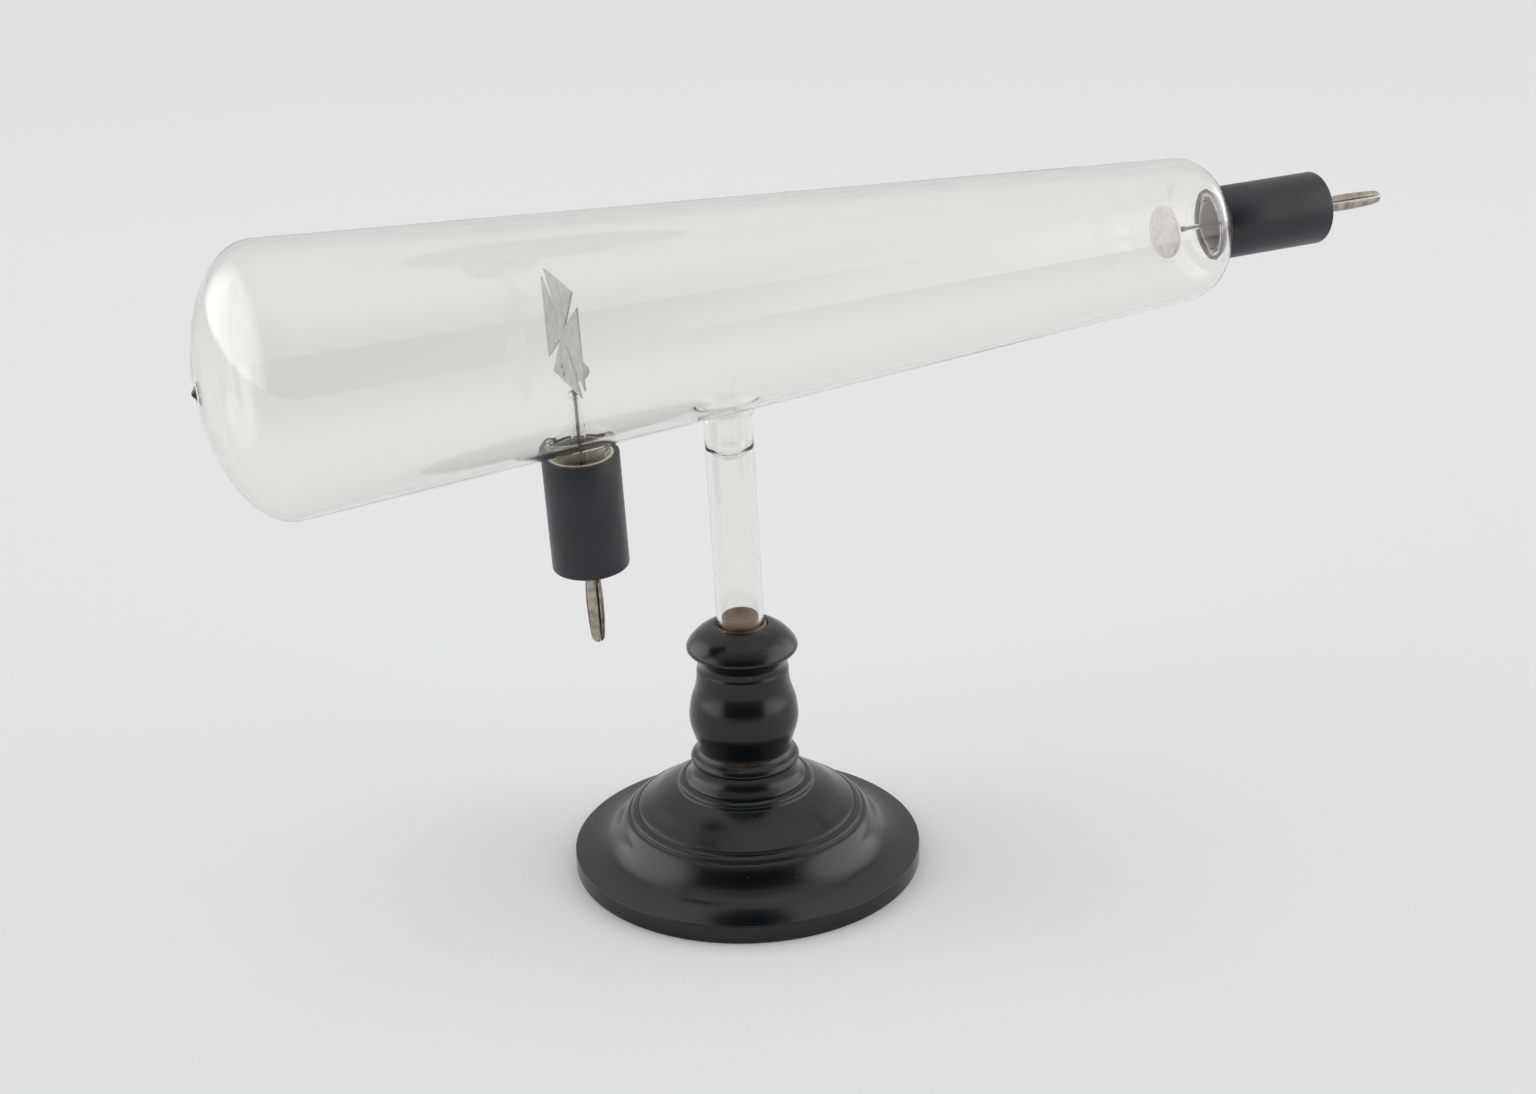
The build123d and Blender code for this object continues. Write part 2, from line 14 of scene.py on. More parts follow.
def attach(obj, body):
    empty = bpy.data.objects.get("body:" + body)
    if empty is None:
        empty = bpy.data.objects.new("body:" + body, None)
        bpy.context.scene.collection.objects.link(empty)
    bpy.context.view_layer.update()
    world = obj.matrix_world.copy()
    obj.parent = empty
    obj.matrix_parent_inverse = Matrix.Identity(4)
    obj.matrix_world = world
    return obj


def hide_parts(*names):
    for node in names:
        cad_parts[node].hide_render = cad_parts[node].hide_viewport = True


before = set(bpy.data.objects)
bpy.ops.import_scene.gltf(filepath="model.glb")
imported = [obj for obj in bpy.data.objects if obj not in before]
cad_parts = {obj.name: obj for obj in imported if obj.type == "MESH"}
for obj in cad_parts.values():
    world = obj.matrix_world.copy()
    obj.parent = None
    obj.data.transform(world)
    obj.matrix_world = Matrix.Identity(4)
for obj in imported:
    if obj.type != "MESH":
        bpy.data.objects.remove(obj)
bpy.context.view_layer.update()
mm = 0.001

# %% [markdown]
# The stem was cemented into the stand by eye, so it leans a little, the tube leans with it, and
# the anode leans on the tube. Each leaning part gets a matrix of its own. A piece is modelled
# upright and then placed by that matrix, which is simpler than modelling it aslant. Sizes are
# the real ones in millimetres and leans are in degrees.

# %% Places of the leaning parts
mouth_height = 68.3
stem_pivot_depth = 6.2
axis_height_on_stem = 92.5
stem_lean_y = -2.37
stem_lean_x = 1.30
tube_tilt = -1.67
anode_x = -39.5
anode_lean_y = -3.46
anode_lean_x = 3.15
anode_mouth_depth = 31.65
cathode_mouth_x = 143.5
pivot_drop = 10.4


def turn(degrees, axis):
    return Matrix.Rotation(math.radians(degrees), 4, axis)


def shift(x, y, z):
    return Matrix.Translation((x, y, z))


stem_place = shift(0, 0, mouth_height - stem_pivot_depth) @ turn(stem_lean_y, "Y") @ turn(stem_lean_x, "X")
tube_centre = stem_place @ Vector((0, 0, axis_height_on_stem))
tube_place = Matrix.Translation(tube_centre) @ turn(tube_tilt, "Y")
anode_centre = tube_place @ Vector((anode_x, 0, 0))
anode_place = Matrix.Translation(anode_centre) @ turn(anode_lean_y, "Y") @ turn(anode_lean_x, "X")
anode_cap_place = anode_place @ turn(180, "Y") @ shift(0, 0, anode_mouth_depth)
cathode_cap_place = tube_place @ shift(cathode_mouth_x, 0, 0) @ turn(90, "Y")
cross_place = anode_place @ shift(0, 0, -pivot_drop)
print("tube axis crosses the stem", round(tube_centre.z, 1), "mm above the bench")

# %% [markdown]
# Colours are picked as sRGB hex values, as in a paint program. Blender works with linear light,
# so a value typed in as it stands would look washed out. One function converts it.

# %% Colours
def colour(code, alpha=1.0):
    def linear(value):
        if value <= 0.04045:
            return value / 12.92
        return ((value + 0.055) / 1.055) ** 2.4

    channels = [int(code[i:i + 2], 16) / 255 for i in (1, 3, 5)]
    return [*map(linear, channels), alpha]


print("white is", [round(v, 2) for v in colour("#ffffff")])

# %% [markdown]
# Every finish is a small node tree. Trees could be built by clicking, but a script is exact and
# can be read. One function adds a node: its inputs are given a value or linked to another node's
# output, its settings are plain attributes, and a colour ramp also takes its stops. The first
# output of a noise is its plain value. Patterns are sized in millimetres of the real surface.

# %% Nodes
def add(tree, kind, inputs=None, stops=(), **settings):
    """Adds a node. Stops are (position, hex colour or grey level)."""
    node = tree.nodes.new(kind)
    for key, value in settings.items():
        setattr(node, key, value)
    for key, value in (inputs or {}).items():
        if isinstance(value, bpy.types.NodeSocket):
            tree.links.new(value, node.inputs[key])
        else:
            node.inputs[key].default_value = value
    if stops:
        elements = node.color_ramp.elements
        while len(elements) < len(stops):
            elements.new(0.5)
        for element, (position, shade) in zip(elements, stops):
            element.position = position
            element.color = colour(shade) if isinstance(shade, str) else (shade, shade, shade, 1)
    return node


def new_material(name):
    material = bpy.data.materials.new(name)
    material.use_nodes = True
    material.node_tree.nodes.clear()
    return material, material.node_tree


def per_mm(size):
    """The texture scale that gives features of a size in millimetres."""
    return 1000 / size


print("a pattern of 2 mm has scale", per_mm(2))

# %% [markdown]
# Most pieces of this instrument were turned on a lathe or blown round, so most meshes are an
# outline spun about an axis. A stretch of an outline is a smooth line through a few points, or
# part of an ellipse, and a sharp break between two stretches is a shared point. The spin merges
# its seam, the doubles at the poles are merged too, and the normals are recalculated, because a
# spin can face either way.

# %% Helpers for turned shapes
weld_distance = 0.001


def smooth_line(points, steps=6):
    """Points on a smooth line through the given ones."""
    line = []
    for i in range(len(points) - 1):
        before = Vector(points[max(i - 1, 0)])
        start = Vector(points[i])
        end = Vector(points[i + 1])
        after = Vector(points[min(i + 2, len(points) - 1)])
        for step in range(steps):
            t = step / steps
            line.append(0.5 * (2 * start + (end - before) * t
                               + (2 * before - 5 * start + 4 * end - after) * t * t
                               + (3 * start - before - 3 * end + after) * t ** 3))
    return line + [Vector(points[-1])]


def round_line(centre, radius_x, radius_z, start, end, steps=8):
    """Points on an ellipse between two angles in degrees, from the first axis."""
    angles = [math.radians(start + (end - start) * i / steps) for i in range(steps + 1)]
    return [Vector((centre[0] + radius_x * math.cos(a), centre[1] + radius_z * math.sin(a)))
            for a in angles]


def spun(outline, steps=96, closed=False):
    """A mesh from an outline of (radius, height), spun about Z."""
    bm = bmesh.new()
    verts = [bm.verts.new((radius, 0, height)) for radius, height in outline]
    edges = [bm.edges.new(pair) for pair in zip(verts, verts[1:])]
    if closed:
        edges.append(bm.edges.new((verts[-1], verts[0])))
    bmesh.ops.spin(bm, geom=verts + edges, axis=(0, 0, 1), cent=(0, 0, 0), angle=math.tau,
                   steps=steps, use_merge=True)
    bmesh.ops.remove_doubles(bm, verts=bm.verts, dist=weld_distance)
    bmesh.ops.recalc_face_normals(bm, faces=bm.faces)
    return bm


print("a quarter round has", len(round_line((0, 0), 1, 1, 0, 90)), "points")

# %% [markdown]
# A shape that is done becomes a piece. Its millimetres turn into metres and its place goes into
# the mesh, so that the object itself stays at the origin. Smooth shading with sharp edges above
# an angle keeps the mouldings crisp. The piece then rides on its body and stands for the solids
# that it shows. Some pieces are two shells, so one helper takes a second shell into the first.

# %% Helpers that finish a piece
def take_in(bm, other):
    """Moves the faces of another shape into the first."""
    mesh = bpy.data.meshes.new("shell")
    other.to_mesh(mesh)
    other.free()
    bm.from_mesh(mesh)
    bpy.data.meshes.remove(mesh)


def finish_piece(bm, name, material, nodes, place=None, body="tube_and_stand", crease=35):
    """Turns a bmesh in millimetres into a placed, smooth piece that stands for its CAD nodes."""
    bmesh.ops.transform(bm, matrix=Matrix.Scale(mm, 4) @ (place or Matrix()), verts=bm.verts)
    mesh = bpy.data.meshes.new(name)
    bm.to_mesh(mesh)
    bm.free()
    mesh.materials.append(material)
    mesh.shade_smooth()
    mesh.set_sharp_from_angle(angle=math.radians(crease))
    piece = bpy.data.objects.new(name, mesh)
    bpy.context.scene.collection.objects.link(piece)
    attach(piece, body)
    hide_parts(*nodes)
    print(name, len(mesh.polygons), "faces")


print("pieces are scaled by", mm)

# %% [markdown]
# The stand is beech that was turned, stained black and polished with shellac. The eye sees a
# near-black body colour, a clear gloss over it, fine rings from the turning, brown wood where
# the polish has rubbed off at the joint and the bottom edge, and a little dust. The worn places
# depend on height, so they are read from Object coordinates. Real turning rings are too fine to
# show, so they are drawn half a millimetre apart.

# %% Ebonised beech
stand_height = 33.3
worn_band = 1.1


def ebonised_beech():
    material, tree = new_material("ebonised turned beech")
    place = add(tree, "ShaderNodeTexCoord").outputs["Object"]
    height = add(tree, "ShaderNodeSeparateXYZ", {"Vector": place}).outputs["Z"]
    wobble = add(tree, "ShaderNodeTexNoise", {"Vector": place, "Scale": per_mm(3), "Detail": 6}).outputs[0]
    rubbed = add(tree, "ShaderNodeTexNoise", {"Vector": place, "Scale": per_mm(9), "Detail": 3}).outputs[0]
    above_joint = add(tree, "ShaderNodeMath", {0: height, 1: stand_height * mm}, operation="SUBTRACT")
    from_joint = add(tree, "ShaderNodeMath", {0: above_joint.outputs[0]}, operation="ABSOLUTE").outputs[0]
    from_bench = add(tree, "ShaderNodeMath", {0: height}, operation="ABSOLUTE").outputs[0]
    near = add(tree, "ShaderNodeMath", {0: from_joint, 1: from_bench}, operation="MINIMUM").outputs[0]
    near = add(tree, "ShaderNodeMapRange", {"Value": near, "From Max": worn_band * mm, "To Min": 0.62,
                                            "To Max": 0.0}).outputs[0]
    wear = add(tree, "ShaderNodeMath", {0: near, 1: wobble}, operation="ADD").outputs[0]
    wear = add(tree, "ShaderNodeValToRGB", {"Fac": wear}, [(0.78, 0.0), (0.98, 1.0)]).outputs["Color"]
    stain = add(tree, "ShaderNodeValToRGB", {"Fac": rubbed}, [(0.3, "#08090b"), (0.7, "#0c0d10")])
    base = add(tree, "ShaderNodeMix", {"Factor": wear, "A": stain.outputs["Color"], "B": colour("#38291e")},
               data_type="RGBA").outputs["Result"]
    dust = add(tree, "ShaderNodeTexVoronoi", {"Vector": place, "Scale": per_mm(2.6)}).outputs[0]
    dust = add(tree, "ShaderNodeValToRGB", {"Fac": dust}, [(0.035, 0.55), (0.06, 0.0)]).outputs["Color"]
    dusty = add(tree, "ShaderNodeMix", {"Factor": dust, "A": base, "B": colour("#8c8a86")},
                data_type="RGBA").outputs["Result"]
    along = add(tree, "ShaderNodeMapping", {"Vector": place, "Scale": (0.12, 0.12, 1)}).outputs["Vector"]
    rings = add(tree, "ShaderNodeTexNoise", {"Vector": along, "Scale": per_mm(0.5), "Detail": 2}).outputs[0]
    bump = add(tree, "ShaderNodeBump", {"Height": rings, "Strength": 0.06, "Distance": 0.0002})
    rough = add(tree, "ShaderNodeMapRange", {"Value": rubbed, "To Min": 0.17, "To Max": 0.28}).outputs[0]
    shader = add(tree, "ShaderNodeBsdfPrincipled", {"Base Color": dusty, "Roughness": rough,
                                                    "Normal": bump.outputs["Normal"], "IOR": 1.5})
    add(tree, "ShaderNodeOutputMaterial", {"Surface": shader.outputs["BSDF"]})
    return material


beech = ebonised_beech()
print(beech.name, "with", len(beech.node_tree.nodes), "nodes")

# %% [markdown]
# The foot has a flat brim, a cove, a steep round moulding and a long ogee up to a collar. Fine
# grooves part the mouldings. It could be built from many short turned pieces, but a lathe cuts
# it from one block, so one outline spun once gives the same unbroken reflections.

# %% Foot
def foot_outline():
    rim = round_line((46.0, 0.4), 0.4, 0.4, -90, 0, 4) + round_line((46.1, 4.7), 0.3, 0.3, 0, 90, 4)
    brim = smooth_line([(46.1, 5.0), (41.5, 5.7), (38.0, 6.9), (35.6, 8.9), (34.2, 10.9)], 8)
    ovolo = smooth_line([(34.2, 10.9), (33.3, 12.6), (32.6, 13.6), (32.0, 14.2), (31.6, 14.4)], 5)
    band = smooth_line([(31.25, 14.35), (31.05, 14.6), (31.0, 15.0), (30.3, 15.6), (29.4, 15.9),
                        (29.0, 15.85)], 4)
    ogee = smooth_line([(28.75, 16.1), (28.6, 16.6), (26.2, 18.2), (23.4, 20.1), (21.0, 21.4),
                        (18.4, 22.6)], 8)
    nosing = smooth_line([(18.4, 22.6), (18.15, 23.1), (17.9, 23.9), (17.2, 24.5), (16.5, 24.75)], 5)
    throat = smooth_line([(16.1, 24.75), (15.8, 25.2), (14.6, 26.6), (14.0, 28.4), (13.9, 29.4)], 6)
    collar = smooth_line([(14.2, 29.5), (14.4, 30.0), (14.4, 30.6), (13.9, 31.5), (12.9, 32.3),
                          (12.3, 33.1)], 5)
    return [(0, 0), *rim, *brim[1:], *ovolo[1:], *band, *ogee, *nosing[1:], *throat, *collar,
            (12.0, stand_height), (0, stand_height)]


finish_piece(spun(foot_outline(), 160), "turned_foot", beech, ["foot"], crease=50)

# %% [markdown]
# The pillar is a second turning: a vase, a waist and a mushroom bead with a thin lip under it.
# Its top is bored for the glass stem. The bore is part of the outline, so that the black rim
# round the cement is the real edge of a real hole.

# %% Pillar
socket_radius = 6.9
socket_floor = 52.3
mouth_round = 0.3


def pillar_outline():
    vase = smooth_line([(12.1, stand_height), (12.6, 35.0), (13.3, 37.2), (14.15, 40.0), (14.45, 42.3),
                        (14.3, 44.6), (13.8, 47.3), (12.9, 50.0), (12.4, 52.0), (12.2, 54.0),
                        (12.1, 55.9)], 6)
    under = smooth_line([(12.1, 55.9), (11.8, 57.3), (12.2, 58.9), (13.6, 60.7)], 6)
    lip = smooth_line([(13.7, 60.85), (14.2, 61.2), (14.5, 61.6)], 4)
    bead = smooth_line([(14.5, 61.6), (14.6, 62.3), (14.1, 63.4), (13.1, 64.7), (11.8, 66.0),
                        (10.05, 67.2), (8.5, 68.0), (7.3, 68.25)], 6)
    mouth = round_line((socket_radius + mouth_round, 67.95), mouth_round, mouth_round, 90, 180, 4)
    return [(0, stand_height), *vase, *under[1:], *lip, *bead[1:], *mouth,
            (socket_radius, socket_floor), (0, socket_floor)]


finish_piece(spun(pillar_outline(), 128), "turned_pillar", beech, ["pillar"], crease=50)

# %% [markdown]
# The envelope is soda-lime glass, blown and worked in the flame. It has almost no colour. Its
# edges look grey because there the eye looks along the wall, and slow waves in the surface bend
# what is behind. Shadow rays pass straight through it, as a real thin wall casts hardly any
# shadow and a path tracer would otherwise leave the inside noisy and dark. The sleeves are lead
# glass, which seals well on wire and is a little calmer.

# %% Soda-lime glass
def flame_worked_glass(name, tint, wave):
    material, tree = new_material(name)
    place = add(tree, "ShaderNodeTexCoord").outputs["Object"]
    along = add(tree, "ShaderNodeMapping", {"Vector": place, "Scale": (0.25, 1, 1)}).outputs["Vector"]
    slow = add(tree, "ShaderNodeTexNoise", {"Vector": along, "Scale": per_mm(14), "Detail": 1}).outputs[0]
    bump = add(tree, "ShaderNodeBump", {"Height": slow, "Strength": wave, "Distance": 0.001})
    glass = add(tree, "ShaderNodeBsdfPrincipled", {
        "Normal": bump.outputs["Normal"], "Base Color": colour(tint), "Roughness": 0.0, "IOR": 1.5,
        "Transmission Weight": 1.0})
    clear = add(tree, "ShaderNodeBsdfTransparent", {"Color": colour("#f2f2f0")})
    path = add(tree, "ShaderNodeLightPath")
    mix = add(tree, "ShaderNodeMixShader", {0: path.outputs["Is Shadow Ray"], 1: glass.outputs[0],
                                            2: clear.outputs[0]})
    add(tree, "ShaderNodeOutputMaterial", {"Surface": mix.outputs[0]})
    return material


tube_glass = flame_worked_glass("soda-lime glass", "#fbfbf9", 0.05)
sleeve_glass = flame_worked_glass("lead glass", "#fbfaf8", 0.03)
print("glasses:", tube_glass.name, "and", sleeve_glass.name)

# %% [markdown]
# The tube is a long cone with a low dome at the wide end and a round shoulder at the narrow one,
# where it runs through a small flare into the cathode neck. The nipple on the dome is where the
# pump was sealed off. Outer and inner skin come from one outline with an inset. The cone has
# short rows, because the branches are cut into them later.

# %% Outline of the conical skin
glass_wall = 1.3
wide_radius = 32.7
narrow_radius = 18.9
wide_x = -110.3
narrow_x = 131.0
dome_depth = 17.7
shoulder_depth = 8.9
neck_radius = 7.5
neck_flare = 1.8
neck_reach = 8
end_depth = 4
row = 1.5
nipple_radius = 1.4
nipple = [(0, -129.1), (0.5, -128.95), (0.95, -128.6), (nipple_radius, -128.25), (2.1, -128.0)]
taper = (wide_radius - narrow_radius) / (narrow_x - wide_x)
cathode_neck_end = cathode_mouth_x + neck_reach


def skin_radius(x, inset):
    return wide_radius - inset - taper * (x - wide_x)


def skin_outline(inset):
    """(radius, distance along the tube), from the middle of the dome to the end of the cathode neck."""
    flare = neck_flare + inset
    neck = neck_radius - inset
    depth = dome_depth - inset
    middle = [(0, wide_x - depth), (nipple_radius, wide_x - depth)] if inset else nipple
    dome = [(z, wide_x - x) for x, z in round_line((0, 0), depth, wide_radius - inset, 5, 91.5, 30)]
    rows = int((narrow_x - wide_x) / row)
    cone = [(skin_radius(wide_x + row * i, inset), wide_x + row * i) for i in range(1, rows)]
    rise = narrow_radius - inset - neck - flare
    shoulder = [(r, x) for x, r in
                round_line((narrow_x, neck + flare), shoulder_depth - inset, rise, 86, 0, 14)]
    flare_x = narrow_x + shoulder_depth + neck_flare
    throat = [(r, x) for x, r in round_line((flare_x, neck + flare), flare, flare, 180, 270, 8)]
    straight = [(neck, flare_x + (cathode_neck_end - flare_x) * i / 4) for i in range(1, 4)]
    end = [(r, x) for x, r in round_line((cathode_neck_end, 0), end_depth - inset, neck, 90, 0, 8)]
    return [*middle, *dome, *cone, *shoulder, *throat[1:], *straight, *end]


print("outer outline has", len(skin_outline(0)), "points")

# %% [markdown]
# A branch leaves the cone along a curve that isn't flat, so its flare needs the spot where a line
# beside the branch's axis meets the skin. A formula would be long, but halving a range many times
# finds the spot exactly enough. The flare itself is a smooth curve that starts along the cone and
# ends along the branch, as glass does when it is drawn out.

# %% Points where a branch meets the skin
flare_pull = 0.62
nearest = 10.0
farthest = 45.0
halvings = 32


def ring_point(place, angle, radius, height):
    return place @ Vector((radius * math.cos(angle), radius * math.sin(angle), height))


def height_on_skin(place, angle, radius, inset):
    """Distance along a branch at which a line beside its axis leaves the cone."""
    low = nearest
    high = farthest
    for _ in range(halvings):
        middle = (low + high) / 2
        point = ring_point(place, angle, radius, middle)
        if math.hypot(point.y, point.z) < skin_radius(point.x, inset):
            low = middle
        else:
            high = middle
    return low


def flare_point(place, angle, radius, flare, inset, share):
    """A point on the smooth flare between the cone and the branch."""
    outer = radius + flare
    beyond = outer + 0.2
    start = Vector((outer, height_on_skin(place, angle, outer, inset)))
    beside = Vector((beyond, height_on_skin(place, angle, beyond, inset)))
    slope = (start - beside).normalized()
    root = Vector((radius, height_on_skin(place, angle, radius, inset) + flare))
    pull = flare_pull * flare
    points = [start, start + slope * pull, root - Vector((0, pull)), root]
    weights = [(1 - share) ** 3, 3 * share * (1 - share) ** 2, 3 * share ** 2 * (1 - share), share ** 3]
    spot = sum((p * w for p, w in zip(points, weights)), Vector((0, 0)))
    return ring_point(place, angle, spot.x, spot.y)


print("spots are found to", (farthest - nearest) / 2 ** halvings, "mm")

# %% [markdown]
# The glassblower fuses three branches on the cone: the anode neck, the cathode neck and the stem.
# Their walls run into the cone without a seam, so the whole tube is one mesh with an outer and an
# inner skin. For the stem and the anode neck, a square of faces is opened where the branch leaves,
# and the open edge is extruded ring by ring: first along the cone, then round the flare, then down
# the branch. A boolean would leave long thin faces here, which glass shows as streaks.

# %% Branches grown out of the skin
cone_shares = (0.45, 1.0)
flare_rings = 8
opening_margin = 1.6


def grow_branch(bm, place, centre_x, radius, flare, inset, path):
    """Opens the skin round a branch and extrudes the edge along the cone, the flare and a path."""
    half = radius + flare + opening_margin
    opened = [f for f in bm.faces if abs(f.calc_center_median().x - centre_x) < half
              and abs(f.calc_center_median().y) < half and f.calc_center_median().z < 0]
    bmesh.ops.delete(bm, geom=opened, context="FACES")
    edges = [e for e in bm.edges if e.is_boundary]
    to_branch = place.inverted()
    stages = [("cone", share) for share in cone_shares]
    stages += [("flare", (i + 1) / flare_rings) for i in range(flare_rings)]
    stages += [("path", spot) for spot in path]
    for stage, value in stages:
        grown = bmesh.ops.extrude_edge_only(bm, edges=edges)["geom"]
        edges = [e for e in grown if isinstance(e, bmesh.types.BMEdge)]
        for vert in (v for v in grown if isinstance(v, bmesh.types.BMVert)):
            local = to_branch @ vert.co
            angle = math.atan2(local.y, local.x)
            if stage == "cone":
                wide = math.hypot(local.x, local.y)
                wide += (radius + flare - wide) * value
                vert.co = ring_point(place, angle, wide, height_on_skin(place, angle, wide, inset))
            elif stage == "flare":
                vert.co = flare_point(place, angle, radius, flare, inset, value)
            else:
                vert.co = ring_point(place, angle, *value)
    bmesh.ops.contextual_create(bm, geom=edges)


print("a branch grows in", len(cone_shares) + flare_rings, "rings before it follows its path")

# %% [markdown]
# The stem is open below and closed above by a septum, the rounded end that kept the vacuum in
# while the stem was joined. So the outer skin runs down the stem, round its cut end, up its bore
# and over the septum's underside, and the inner skin has a short round end above the septum. The
# anode neck ends in a round closed end inside its cap. Paths are (radius, distance from the axis).

# %% The whole glass tube
stem_radius = 6.2
stem_foot = -8.6
stem_flare = 3.5
anode_flare = 1.6
cut_round = 0.4
septum_centre = 35.5
stem_bore = stem_radius - glass_wall
stem_end = axis_height_on_stem - stem_foot
neck_end = anode_mouth_depth + neck_reach
to_tube = tube_place.inverted()
stem_branch = to_tube @ stem_place @ shift(0, 0, axis_height_on_stem) @ turn(180, "X")
anode_branch = to_tube @ anode_place @ turn(180, "Y")


def stem_path():
    """Down the stem, round its cut end, up the bore and over the septum."""
    down = [(stem_radius, 34 + i * 5.5) for i in range(12)]
    cut = [(stem_radius, stem_end - cut_round), (stem_radius - cut_round, stem_end),
           (stem_bore + cut_round, stem_end), (stem_bore, stem_end - cut_round)]
    up = [(stem_bore, 95 - i * 5.2) for i in range(11)]
    under = [(stem_bore, 38.5), (stem_bore, 37.5), (4.84, 37.3)]
    under += [tuple(p) for p in round_line((0, septum_centre), 5.2, 4.7, 24, 87, 9)]
    return down + cut + up + under


def stub_path():
    """The cavity's own end above the septum."""
    return [(4.9, 34.8), *(tuple(p) for p in round_line((0, septum_centre), 4.9, 4.4, 0, 87, 10))]


def neck_path(inset):
    radius = neck_radius - inset
    end = [tuple(p) for p in round_line((0, neck_end), radius, end_depth - inset, 0, 88, 8)]
    return [(radius, 32.5), (radius, 35), *end]


def glass_skin(inset):
    """One closed skin of the tube in the tube's own frame."""
    bm = spun(skin_outline(inset), 128)
    bmesh.ops.rotate(bm, verts=bm.verts, cent=(0, 0, 0), matrix=Matrix.Rotation(math.radians(90), 3, "Y"))
    stem_or_stub = stub_path() if inset else stem_path()
    grow_branch(bm, stem_branch, 0, stem_radius - inset, stem_flare, inset, stem_or_stub)
    grow_branch(bm, anode_branch, anode_x, neck_radius - inset, anode_flare + inset, inset, neck_path(inset))
    bmesh.ops.recalc_face_normals(bm, faces=bm.faces)
    return bm


def glass_tube():
    """Outer skin, and the inner skin turned to face the vacuum."""
    outer = glass_skin(0)
    inner = glass_skin(glass_wall)
    bmesh.ops.reverse_faces(inner, faces=inner.faces)
    take_in(outer, inner)
    return outer


finish_piece(glass_tube(), "glass_tube", tube_glass,
             ["envelope", "support_stem", "anode_neck", "cathode_neck"], tube_place, crease=60)

# %% [markdown]
# Each wire enters the vacuum through a glass sleeve that is fused to the end of the neck. The
# sleeve is a thin tube, closed on the wire at its tip, and the cathode's is much thinner than the
# anode's. One outline that starts and ends on the axis gives outside and bore together.

# %% Seal sleeves
root_depth = 8
tail_depth = 13.5
seal_length = 1.2


def sleeve_outline(reach, tip, root, wall):
    bore = root - wall
    end = round_line((0, tip - reach), tip, tip, -90, 0, 8)
    straight = [(root, root_depth), (root, tail_depth), (bore, tail_depth), (bore, root_depth)]
    bore_end = round_line((0, tip + seal_length - reach), tip - wall, tip - wall, 0, -90, 5)
    return [*end, *straight, *bore_end]


anode_sleeve = sleeve_outline(reach=16.65, tip=1.8, root=1.95, wall=0.35)
cathode_sleeve = sleeve_outline(reach=12.2, tip=0.75, root=0.75, wall=0.25)
finish_piece(spun(anode_sleeve, 48), "anode_sleeve", sleeve_glass,
             ["anode_seal_sleeve"], anode_cap_place, crease=60)
finish_piece(spun(cathode_sleeve, 48), "cathode_sleeve", sleeve_glass,
             ["cathode_seal_sleeve"], cathode_cap_place, crease=60)

# %% [markdown]
# The caps are turned ebonite, a hard rubber. It is black with a soft satin gloss, slightly grey
# where light grazes it, with faint rings round its axis from the lathe. The rings follow each
# cap's axis, so each cap has its own material with the pattern turned to that axis.

# %% Ebonite
def ebonite(name, place):
    material, tree = new_material(name)
    turned_back = add(tree, "ShaderNodeTexCoord").outputs["Object"]
    angles = [-a for a in place.to_euler("XYZ")]
    for i in (2, 1, 0):
        rotation = [0, 0, 0]
        rotation[i] = angles[i]
        step = add(tree, "ShaderNodeMapping", {"Vector": turned_back, "Rotation": rotation})
        turned_back = step.outputs["Vector"]
    along = add(tree, "ShaderNodeMapping", {"Vector": turned_back, "Scale": (0.08, 0.08, 1)})
    along = along.outputs["Vector"]
    rings = add(tree, "ShaderNodeTexNoise", {"Vector": along, "Scale": per_mm(0.35), "Detail": 2}).outputs[0]
    cloud = add(tree, "ShaderNodeTexNoise", {"Vector": turned_back, "Scale": per_mm(5), "Detail": 5})
    cloud = cloud.outputs[0]
    dust = add(tree, "ShaderNodeTexVoronoi", {"Vector": turned_back, "Scale": per_mm(1.8)}).outputs[0]
    dust = add(tree, "ShaderNodeValToRGB", {"Fac": dust}, [(0.04, 0.5), (0.07, 0.0)]).outputs["Color"]
    black = add(tree, "ShaderNodeValToRGB", {"Fac": cloud}, [(0.3, "#17171b"), (0.75, "#1f1f24")])
    dusty = add(tree, "ShaderNodeMix", {"Factor": dust, "A": black.outputs["Color"], "B": colour("#77767a")},
                data_type="RGBA").outputs["Result"]
    rough = add(tree, "ShaderNodeMapRange", {"Value": cloud, "To Min": 0.3, "To Max": 0.46}).outputs[0]
    bump = add(tree, "ShaderNodeBump", {"Height": rings, "Strength": 0.12, "Distance": 0.0001})
    shader = add(tree, "ShaderNodeBsdfPrincipled", {"Base Color": dusty, "Roughness": rough,
                                                    "Normal": bump.outputs["Normal"], "IOR": 1.52})
    add(tree, "ShaderNodeOutputMaterial", {"Surface": shader.outputs["BSDF"]})
    return material


anode_ebonite = ebonite("anode ebonite", anode_cap_place)
cathode_ebonite = ebonite("cathode ebonite", cathode_cap_place)
print("ebonites:", anode_ebonite.name, "and", cathode_ebonite.name)

# %% [markdown]
# A cap is a cup with a thick wall and a small hole for the plug pin in its floor. Its outline is
# closed, and its heights are measured from the mouth. The cathode's cap was pushed on farther
# than the anode's, so its skirt reaches over the glass.

# %% Ebonite caps
cap_length = 30.45
cap_floor = 26.45
cap_radius = 9.7
cap_bore = 8.4
cap_edge = 0.5
cathode_skirt = 1.4


